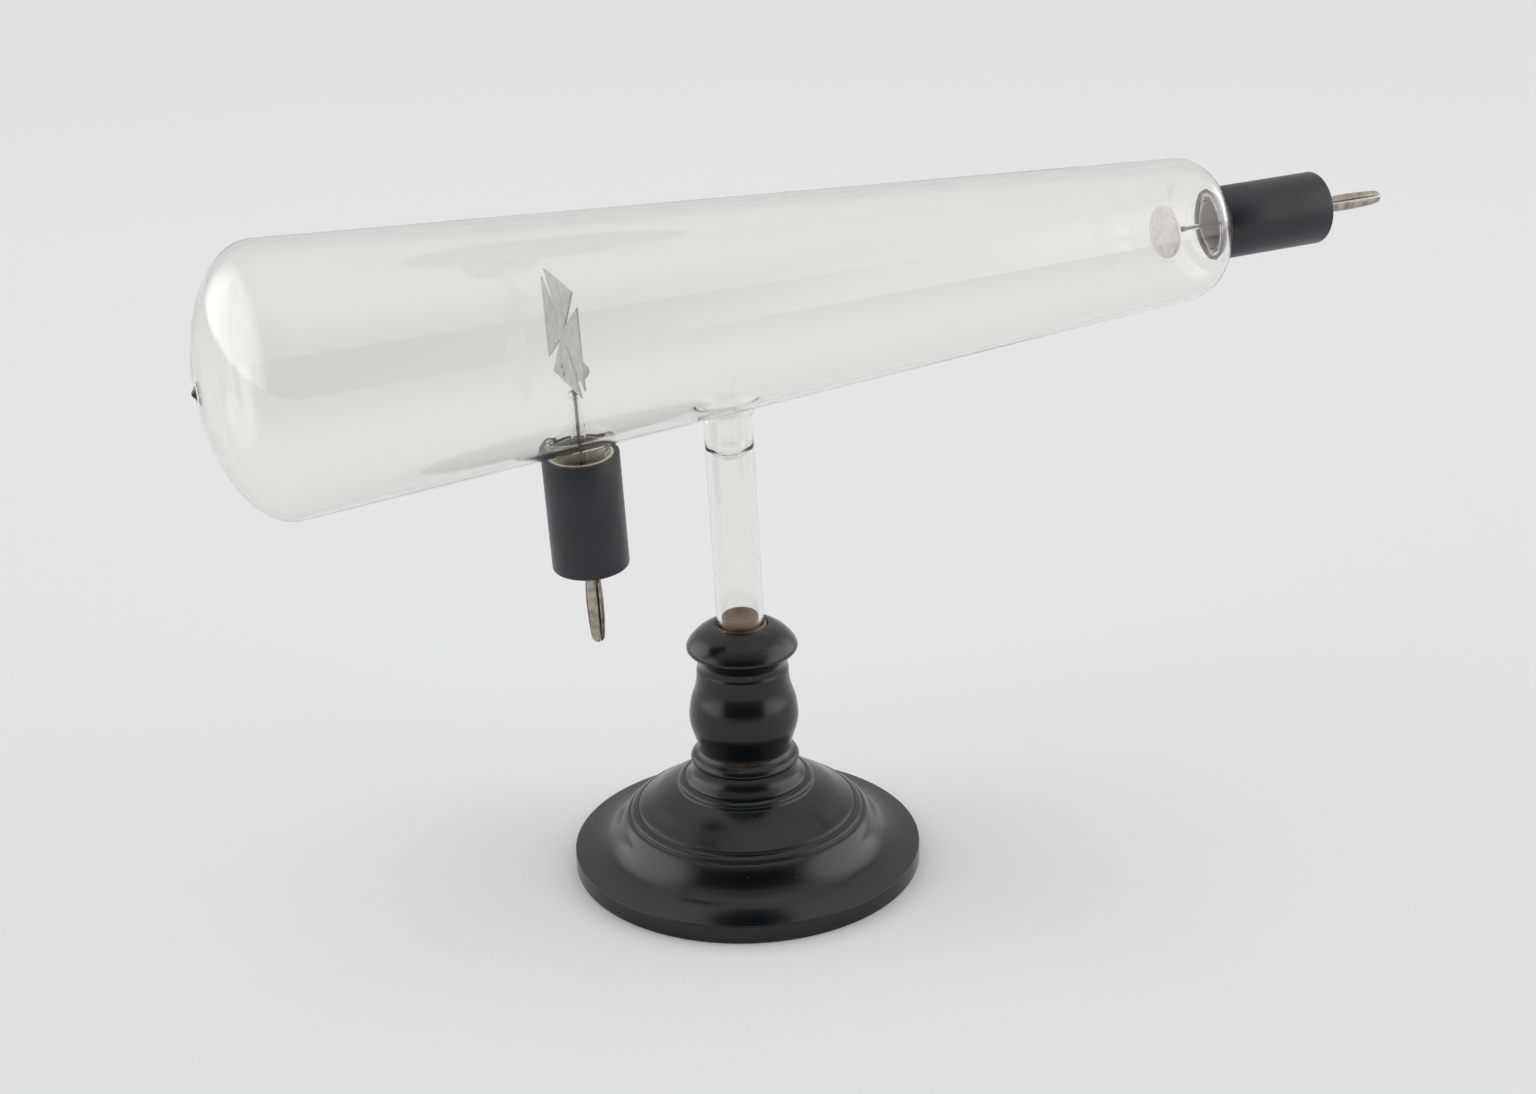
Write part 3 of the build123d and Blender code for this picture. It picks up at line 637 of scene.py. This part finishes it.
def cap_outline(skirt):
    mouth = [(cap_bore, 0.15 - skirt), (8.55, -skirt), (9.5, -skirt), (9.62, 0.05 - skirt),
             (cap_radius, 0.2 - skirt)]
    end = round_line((cap_radius - cap_edge, cap_length - cap_edge), cap_edge, cap_edge, 0, 90, 5)
    hole = [(2.45, cap_length), (2.1, cap_length - 0.3), (2.05, cap_floor)]
    return [*mouth, (cap_radius, 10), (cap_radius, 20), *end, *hole, (8.2, cap_floor),
            (cap_bore, cap_floor - 0.2)]


finish_piece(spun(cap_outline(0), 96, closed=True), "anode_ebonite_cap", anode_ebonite,
             ["anode_cap"], anode_cap_place, crease=40)
finish_piece(spun(cap_outline(cathode_skirt), 96, closed=True), "cathode_ebonite_cap", cathode_ebonite,
             ["cathode_cap"], cathode_cap_place, crease=40)

# %% [markdown]
# Plaster of Paris holds each cap on its neck. It is off-white, matt and a little crumbly, and has
# gone brown in places with heat and handling. Only a narrow ring of it shows at the mouth, so it
# is spun smooth, its crumbs are a bump from a fine noise, and a slow noise stains it.

# %% Plaster
plaster_skirt = 1.2


def plaster_of_paris():
    material, tree = new_material("aged plaster of Paris")
    place = add(tree, "ShaderNodeTexCoord").outputs["Object"]
    stain = add(tree, "ShaderNodeTexNoise", {"Vector": place, "Scale": per_mm(7), "Detail": 4}).outputs[0]
    grain = add(tree, "ShaderNodeTexNoise", {"Vector": place, "Scale": per_mm(0.5), "Detail": 5}).outputs[0]
    base = add(tree, "ShaderNodeValToRGB", {"Fac": stain},
               [(0.35, "#b5a995"), (0.5, "#d8cfbf"), (0.68, "#ece7dd")]).outputs["Color"]
    bump = add(tree, "ShaderNodeBump", {"Height": grain, "Strength": 0.5, "Distance": 0.0003})
    shader = add(tree, "ShaderNodeBsdfPrincipled", {"Base Color": base, "Normal": bump.outputs["Normal"],
                                                    "Roughness": 0.9, "IOR": 1.45})
    add(tree, "ShaderNodeOutputMaterial", {"Surface": shader.outputs["BSDF"]})
    return material


def plaster_outline(skirt):
    return [(7.52, 0.15 - skirt), (7.7, 0.02 - skirt), (8.1, 0.05 - skirt), (8.38, 0.3 - skirt),
            (8.38, 9.5), (7.52, 9.5)]


plaster = plaster_of_paris()
finish_piece(spun(plaster_outline(0), 72, closed=True), "anode_plaster", plaster,
             ["anode_cap_plaster"], anode_cap_place, crease=50)
finish_piece(spun(plaster_outline(plaster_skirt), 72, closed=True), "cathode_plaster", plaster,
             ["cathode_cap_plaster"], cathode_cap_place, crease=50)

# %% [markdown]
# The plug pins are brass with a nickel plate, and the wires are nickel. Polished once, the plate
# is now warm grey and dulled by brown tarnish, and the wires were browned by heat. A metal's
# colour is its reflection, so the tarnish is mixed into the base colour and makes it rougher.

# %% Tarnished nickel
def tarnished_nickel(name, bright, dull, rough):
    material, tree = new_material(name)
    place = add(tree, "ShaderNodeTexCoord").outputs["Object"]
    cloud = add(tree, "ShaderNodeTexNoise", {"Vector": place, "Scale": per_mm(2.2), "Detail": 6}).outputs[0]
    specks = add(tree, "ShaderNodeTexNoise", {"Vector": place, "Scale": per_mm(0.4), "Detail": 3}).outputs[0]
    tarnish = add(tree, "ShaderNodeValToRGB", {"Fac": cloud}, [(0.36, bright), (0.66, dull)])
    spots = add(tree, "ShaderNodeValToRGB", {"Fac": specks}, [(0.62, 0.0), (0.72, 0.6)]).outputs["Color"]
    base = add(tree, "ShaderNodeMix", {"Factor": spots, "A": tarnish.outputs["Color"], "B": colour("#5a4f44")},
               data_type="RGBA").outputs["Result"]
    dulled = add(tree, "ShaderNodeMapRange", {"Value": cloud, "To Min": rough, "To Max": rough + 0.22})
    bump = add(tree, "ShaderNodeBump", {"Height": specks, "Strength": 0.1, "Distance": 0.0001})
    shader = add(tree, "ShaderNodeBsdfPrincipled", {"Base Color": base, "Roughness": dulled.outputs[0],
                                                    "Normal": bump.outputs["Normal"], "Metallic": 1.0})
    add(tree, "ShaderNodeOutputMaterial", {"Surface": shader.outputs["BSDF"]})
    return material


pin_nickel = tarnished_nickel("tarnished nickel plate", "#b9b2a8", "#8d8275", 0.22)
wire_nickel = tarnished_nickel("heat-browned nickel wire", "#9c9184", "#6f6254", 0.3)
print("nickels:", pin_nickel.name, "and", wire_nickel.name)

# %% [markdown]
# A bunch plug has four sprung leaves that swell in the middle and pinch at the tip. One leaf is a
# solid of revolution cut by two planes. Its sharp edges are bevelled, it is bent a little inwards,
# and copies stand round the axis on a plain shank. Cutting slots out of a whole pin would give
# the same look but leave thin faces at the tip.

# %% Plug pins
leaf_start = cap_length + 5.2
pin_end = cap_length + 22.0
tip_radius = 1.75
slot_half = 0.33
leaf_bevel = 0.09
leaf_bend = 0.05
anode_slot_turn = -5
cathode_slot_turn = 65


def leaf():
    """One sprung quarter of the pin."""
    tip = round_line((0, pin_end - tip_radius), tip_radius, tip_radius, 0, 90, 6)
    side = smooth_line([(2.0, leaf_start - 0.4), (2.12, leaf_start + 2.2), (2.2, leaf_start + 4.0),
                        (2.2, leaf_start + 5.8), (2.08, leaf_start + 10.5), (1.88, leaf_start + 14.0),
                        (tip_radius, pin_end - tip_radius)], 4)
    bm = spun([(0, leaf_start - 0.4), *side, *tip[1:]], 64)
    for normal in ((1, 0, 0), (0, 1, 0)):
        cut = bmesh.ops.bisect_plane(bm, geom=bm.verts[:] + bm.edges[:] + bm.faces[:], dist=0.0001,
                                     plane_co=Vector(normal) * slot_half, plane_no=normal, clear_inner=True)
        rim = [e for e in cut["geom_cut"] if isinstance(e, bmesh.types.BMEdge)]
        bmesh.ops.contextual_create(bm, geom=rim)
    sharp = [e for e in bm.edges if len(e.link_faces) == 2 and e.calc_face_angle(0) > 1.0
             and max(v.co.z for v in e.verts) > leaf_start]
    bmesh.ops.bevel(bm, geom=sharp, offset=leaf_bevel, segments=2, profile=0.5, affect="EDGES", material=-1)
    for vert in bm.verts:
        along = max(0.0, (vert.co.z - leaf_start - 5.5) / 11.5)
        vert.co -= Vector((leaf_bend, leaf_bend, 0)) * min(along, 1.0) ** 1.5
    return bm


def plug_pin(slot_turn):
    """Shank with four leaves."""
    shank = [(0, 22.9), (1.7, 22.9), (2.0, 23.2), (2.0, leaf_start - 0.15), (1.85, leaf_start),
             (0, leaf_start)]
    pin = spun(shank, 64)
    for quarter in range(4):
        part = leaf()
        bmesh.ops.rotate(part, verts=part.verts, cent=(0, 0, 0),
                         matrix=Matrix.Rotation(math.radians(90 * quarter + slot_turn), 3, "Z"))
        take_in(pin, part)
    return pin


finish_piece(plug_pin(anode_slot_turn), "anode_bunch_plug", pin_nickel,
             ["anode_plug_pin"], anode_cap_place, crease=45)
finish_piece(plug_pin(cathode_slot_turn), "cathode_bunch_plug", pin_nickel,
             ["cathode_plug_pin"], cathode_cap_place, crease=45)

# %% [markdown]
# The cross and the cathode disc are rolled aluminium sheet. In the old vacuum their surface has
# gone dull: light grey, half matt, with soft blotches and dark specks from metal that the
# discharge moved about. The colours stay close together, so the plate still reads as one metal.

# %% Aluminium
def dull_aluminium(name, pale, dark, speck_size):
    material, tree = new_material(name)
    place = add(tree, "ShaderNodeTexCoord").outputs["Object"]
    along = add(tree, "ShaderNodeMapping", {"Vector": place, "Scale": (1, 1, 0.15)}).outputs["Vector"]
    rolled = add(tree, "ShaderNodeTexNoise", {"Vector": along, "Scale": per_mm(0.5), "Detail": 4}).outputs[0]
    blotch = add(tree, "ShaderNodeTexNoise", {"Vector": place, "Scale": per_mm(3), "Detail": 5}).outputs[0]
    both = add(tree, "ShaderNodeMix", {"Factor": 0.55, "A": rolled, "B": blotch},
               data_type="FLOAT").outputs["Result"]
    grey = add(tree, "ShaderNodeValToRGB", {"Fac": both}, [(0.35, dark), (0.65, pale)]).outputs["Color"]
    specks = add(tree, "ShaderNodeTexVoronoi", {"Vector": place, "Scale": per_mm(speck_size)}).outputs[0]
    specks = add(tree, "ShaderNodeValToRGB", {"Fac": specks}, [(0.1, 0.65), (0.2, 0.0)]).outputs["Color"]
    base = add(tree, "ShaderNodeMix", {"Factor": specks, "A": grey, "B": colour("#77746f")},
               data_type="RGBA").outputs["Result"]
    bump = add(tree, "ShaderNodeBump", {"Height": both, "Strength": 0.15, "Distance": 0.0001})
    rough = add(tree, "ShaderNodeMapRange", {"Value": blotch, "To Min": 0.42, "To Max": 0.6}).outputs[0]
    shader = add(tree, "ShaderNodeBsdfPrincipled", {"Base Color": base, "Roughness": rough,
                                                    "Normal": bump.outputs["Normal"], "Metallic": 0.85})
    add(tree, "ShaderNodeOutputMaterial", {"Surface": shader.outputs["BSDF"]})
    return material


cross_aluminium = dull_aluminium("rolled aluminium sheet", "#d6d6d7", "#bab9b8", 1.1)
disc_aluminium = dull_aluminium("pitted aluminium disc", "#ecebe8", "#d3d1cc", 0.8)
print("aluminiums:", cross_aluminium.name, "and", disc_aluminium.name)

# %% [markdown]
# The cross is one sheet with four arms. Its outline is drawn once, with two corners for each arm
# end and one for each notch, then extruded by the sheet's thickness and bevelled as a stamped
# edge is. It rides on the hinge, so it falls with the construction's own joint.

# %% Maltese cross
arm_reach = 13.23
arm_half = 10.43
notch = 3.1 / math.sqrt(2)
sheet_front = -1.67
sheet_thickness = 0.5
sheet_bevel = 0.08


def cross_sheet():
    bm = bmesh.new()
    verts = []
    for quarter in range(4):
        for y, z in ((-arm_half, arm_reach), (arm_half, arm_reach), (notch, notch)):
            corner = Matrix.Rotation(math.radians(-90 * quarter), 2) @ Vector((y, z))
            verts.append(bm.verts.new((sheet_front, corner.x, corner.y + pivot_drop)))
    face = bm.faces.new(verts)
    grown = bmesh.ops.extrude_face_region(bm, geom=[face])["geom"]
    moved = [v for v in grown if isinstance(v, bmesh.types.BMVert)]
    bmesh.ops.translate(bm, verts=moved, vec=(sheet_thickness, 0, 0))
    bmesh.ops.recalc_face_normals(bm, faces=bm.faces)
    bmesh.ops.bevel(bm, geom=bm.edges[:], offset=sheet_bevel, segments=2, profile=0.5, affect="EDGES",
                    material=-1)
    return bm


finish_piece(cross_sheet(), "cross_sheet", cross_aluminium, ["maltese_cross"],
             cross_place, body="cross", crease=40)

# %% [markdown]
# The cathode is a small round plate, held by its wire across the tube's axis. Its edge was
# rounded so that the discharge leaves it evenly. A cylinder with a bevel would do, but an
# outline also gives the slightly hollow face towards the cross.

# %% Cathode disc
disc_x = 126.8
disc_half = 0.6
disc_edge = 0.3
disc_flat = 6.7


def disc_outline():
    cross_side = round_line((disc_flat, -disc_edge), disc_edge, disc_edge, -90, 0, 4)
    wire_side = round_line((disc_flat, disc_edge), disc_edge, disc_edge, 0, 90, 4)
    return [(0, -0.55), (6.4, -disc_half), *cross_side, *wire_side, (0, disc_half)]


finish_piece(spun(disc_outline(), 80), "aluminium_disc", disc_aluminium, ["cathode_disc"],
             tube_place @ shift(disc_x, 0, 0) @ turn(90, "Y"), crease=40)

# %% [markdown]
# Amber-brown resin cement holds the stem. It fills the gap in the socket, creeps up the glass in
# a small meniscus, and has risen a little inside the stem, where its dished top shows through
# the glass. It lets some light through, so it glows amber where it is thin.

# %% Resin cement
def resin_cement():
    material, tree = new_material("amber resin cement")
    place = add(tree, "ShaderNodeTexCoord").outputs["Object"]
    cloud = add(tree, "ShaderNodeTexNoise", {"Vector": place, "Scale": per_mm(4), "Detail": 4}).outputs[0]
    base = add(tree, "ShaderNodeValToRGB", {"Fac": cloud}, [(0.35, "#57402c"), (0.65, "#7b5c3b")])
    bump = add(tree, "ShaderNodeBump", {"Height": cloud, "Strength": 0.3, "Distance": 0.0005})
    shader = add(tree, "ShaderNodeBsdfPrincipled", {
        "Base Color": base.outputs["Color"], "Normal": bump.outputs["Normal"], "Roughness": 0.35,
        "IOR": 1.54, "Subsurface Weight": 0.3, "Subsurface Radius": (0.002, 0.001, 0.0004)})
    add(tree, "ShaderNodeOutputMaterial", {"Surface": shader.outputs["BSDF"]})
    return material


ring_top = stem_pivot_depth - 0.1
collar_ring = [(6.22, ring_top + 0.45), (6.35, ring_top + 0.1), (6.7, ring_top - 0.1),
               (6.85, ring_top - 0.25), (6.85, 2.0), (6.22, 2.0)]
inner_plug = [(0, 7.0), (3.0, 7.05), (4.2, 7.3), (4.7, 7.9), (4.86, 8.8), (4.88, 8.9), (4.88, -8.2),
              (0, -8.2)]
cement_body = spun(collar_ring, 72, closed=True)
take_in(cement_body, spun(inner_plug, 72))
finish_piece(cement_body, "cement_fill", resin_cement(), ["socket_cement"], stem_place,
             crease=50)

# %% [markdown]
# The small pieces keep their construction solids, which are already right, and only get a finish:
# nickel for the wires and the hinge pin, aluminium for lug, rivets and ferrule, tinned copper for
# the leads and brass for nuts and tags. A material is given by filling the node's slots.

# %% Finishes for the pieces that stay
def bright_metal(name, pale, dark, rough):
    material, tree = new_material(name)
    place = add(tree, "ShaderNodeTexCoord").outputs["Object"]
    cloud = add(tree, "ShaderNodeTexNoise", {"Vector": place, "Scale": per_mm(1.5), "Detail": 4}).outputs[0]
    base = add(tree, "ShaderNodeValToRGB", {"Fac": cloud}, [(0.3, dark), (0.7, pale)]).outputs["Color"]
    shader = add(tree, "ShaderNodeBsdfPrincipled", {"Base Color": base, "Roughness": rough, "Metallic": 1.0})
    add(tree, "ShaderNodeOutputMaterial", {"Surface": shader.outputs["BSDF"]})
    return material


brass = bright_metal("machined brass", "#c9a862", "#a88746", 0.3)
tinned_copper = bright_metal("tinned copper", "#c98f6c", "#a9a39b", 0.35)
kept = {
    "anode_wire": wire_nickel, "cathode_wire": wire_nickel, "cross_hinge_pin": wire_nickel,
    "cross_hinge_lug": cross_aluminium, "cross_rivets": cross_aluminium, "cathode_ferrule": disc_aluminium,
    "anode_lead": tinned_copper, "cathode_lead": tinned_copper,
    "anode_pin_nut": brass, "cathode_pin_nut": brass, "anode_solder_tag": brass, "cathode_solder_tag": brass,
}
for node, material in kept.items():
    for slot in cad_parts[node].material_slots:
        slot.material = material
print(len(kept), "nodes keep their solids")

# %% [markdown]
# The photograph has a seamless pale ground. A very large floor plane fills the view, because the
# camera looks down. Its own colour gives the tone, and it keeps the object's soft shadow. Farther
# out its colour is made a little darker, which is painted shade for the light falling off.

# %% Floor
floor_half = 12
# Where the painted shade on the floor begins and ends, in metres from the middle.
painted_shade_start = 0.8
painted_shade_end = 2.6


def seamless_paper():
    material, tree = new_material("seamless paper")
    place = add(tree, "ShaderNodeTexCoord").outputs["Object"]
    tooth = add(tree, "ShaderNodeTexNoise", {"Vector": place, "Scale": per_mm(1.0), "Detail": 3}).outputs[0]
    paper = add(tree, "ShaderNodeValToRGB", {"Fac": tooth}, [(0.2, "#ececed"), (0.8, "#efeff0")])
    # Painted shade: from 0.8 m to 2.6 m out from the middle, the paper's colour is darkened by up to 8
    # percent, standing in for the light falling off.
    far = add(tree, "ShaderNodeVectorMath", {0: place}, operation="LENGTH").outputs["Value"]
    painted_shade = add(tree, "ShaderNodeMapRange", {"Value": far, "From Min": painted_shade_start, "From Max": painted_shade_end,
                                            "To Min": 1.0, "To Max": 0.92}).outputs[0]
    paper_with_painted_shade = add(tree, "ShaderNodeMix", {"Factor": 1.0, "A": paper.outputs["Color"], "B": painted_shade},
                data_type="RGBA", blend_type="MULTIPLY").outputs["Result"]
    shader = add(tree, "ShaderNodeBsdfPrincipled", {"Base Color": paper_with_painted_shade, "Roughness": 1.0,
                                                    "Specular IOR Level": 0.0})
    add(tree, "ShaderNodeOutputMaterial", {"Surface": shader.outputs["BSDF"]})
    return material


floor_bm = bmesh.new()
bmesh.ops.create_grid(floor_bm, x_segments=1, y_segments=1, size=floor_half)
floor_mesh = bpy.data.meshes.new("floor")
floor_bm.to_mesh(floor_mesh)
floor_bm.free()
floor_mesh.materials.append(seamless_paper())
floor = bpy.data.objects.new("floor", floor_mesh)
bpy.context.scene.collection.objects.link(floor)
print("floor is", round(floor.dimensions.x), "m wide")

# %% [markdown]
# The camera was found by fitting the measured sizes to the photograph: it stands 30 cm up and
# half a metre from the stand, looks down by 21.6 degrees, and is rolled by 1.4 degrees.

# %% Camera
camera_spot = Vector((-203.3, -505.3, 304.5)) * mm
heading = math.radians(67.30)
pitch = math.radians(-21.555)
roll = math.radians(-1.399)
forward = Vector((math.cos(heading) * math.cos(pitch), math.sin(heading) * math.cos(pitch), math.sin(pitch)))
level_right = Vector((math.sin(heading), -math.cos(heading), 0))
level_up = level_right.cross(forward)
right = math.cos(roll) * level_right + math.sin(roll) * level_up
up = math.cos(roll) * level_up - math.sin(roll) * level_right
camera_data = bpy.data.cameras.new("camera")
camera_data.sensor_fit = "HORIZONTAL"
camera_data.sensor_width = 36
camera_data.lens = 53.37
camera_data.clip_start = 0.01
camera = bpy.data.objects.new("camera", camera_data)
camera.matrix_world = Matrix.Translation(camera_spot) @ Matrix((right, up, -forward)).transposed().to_4x4()
bpy.context.scene.collection.objects.link(camera)
bpy.context.scene.camera = camera
print("camera looks along", [round(v, 3) for v in forward])

# %% [markdown]
# Soft light comes from the sky of the scene: pale all round, brighter at two large soft boxes
# left and right, a little brighter overhead, and dim behind the camera, where a studio is dark.
# The black gloss of the stand mirrors exactly this, bright down both sides and dark in the middle.

# %% World
room_level = 0.62
dark_level = 0.06
box_level = 1.25
overhead_level = 0.25
light_level = 1.13


def studio_world():
    world = bpy.data.worlds.new("studio")
    world.use_nodes = True
    tree = world.node_tree
    tree.nodes.clear()
    direction = add(tree, "ShaderNodeTexCoord").outputs["Generated"]

    def facing(vector):
        product = add(tree, "ShaderNodeVectorMath", {0: direction, 1: vector}, operation="DOT_PRODUCT")
        return product.outputs["Value"]

    side = add(tree, "ShaderNodeMath", {0: facing(level_right)}, operation="ABSOLUTE").outputs[0]
    boxes = add(tree, "ShaderNodeMapRange", {"Value": side, "From Min": 0.6, "From Max": 0.85,
                                             "To Max": box_level},
                interpolation_type="SMOOTHSTEP").outputs[0]
    to_camera = Vector((-forward.x, -forward.y, 0)).normalized()
    front = add(tree, "ShaderNodeMapRange", {"Value": facing(to_camera), "From Min": 0.1, "From Max": 0.8,
                                             "To Min": room_level, "To Max": dark_level},
                interpolation_type="SMOOTHSTEP").outputs[0]
    overhead = Vector((0, 0, 1))
    top = add(tree, "ShaderNodeMapRange", {"Value": facing(overhead), "From Min": 0.5, "From Max": 1.0,
                                           "To Max": overhead_level},
              interpolation_type="SMOOTHSTEP").outputs[0]
    total = add(tree, "ShaderNodeMath", {0: boxes, 1: front}, operation="ADD").outputs[0]
    total = add(tree, "ShaderNodeMath", {0: total, 1: top}, operation="ADD").outputs[0]
    total = add(tree, "ShaderNodeMath", {0: total, 1: light_level}, operation="MULTIPLY").outputs[0]
    background = add(tree, "ShaderNodeBackground", {"Strength": total, "Color": (1, 1, 1, 1)})
    add(tree, "ShaderNodeOutputWorld", {"Surface": background.outputs[0]})
    return world


bpy.context.scene.world = studio_world()
bpy.context.scene.view_settings.view_transform = "Standard"
print("soft boxes shine", round((room_level + box_level) * light_level, 2), "times as bright as white")
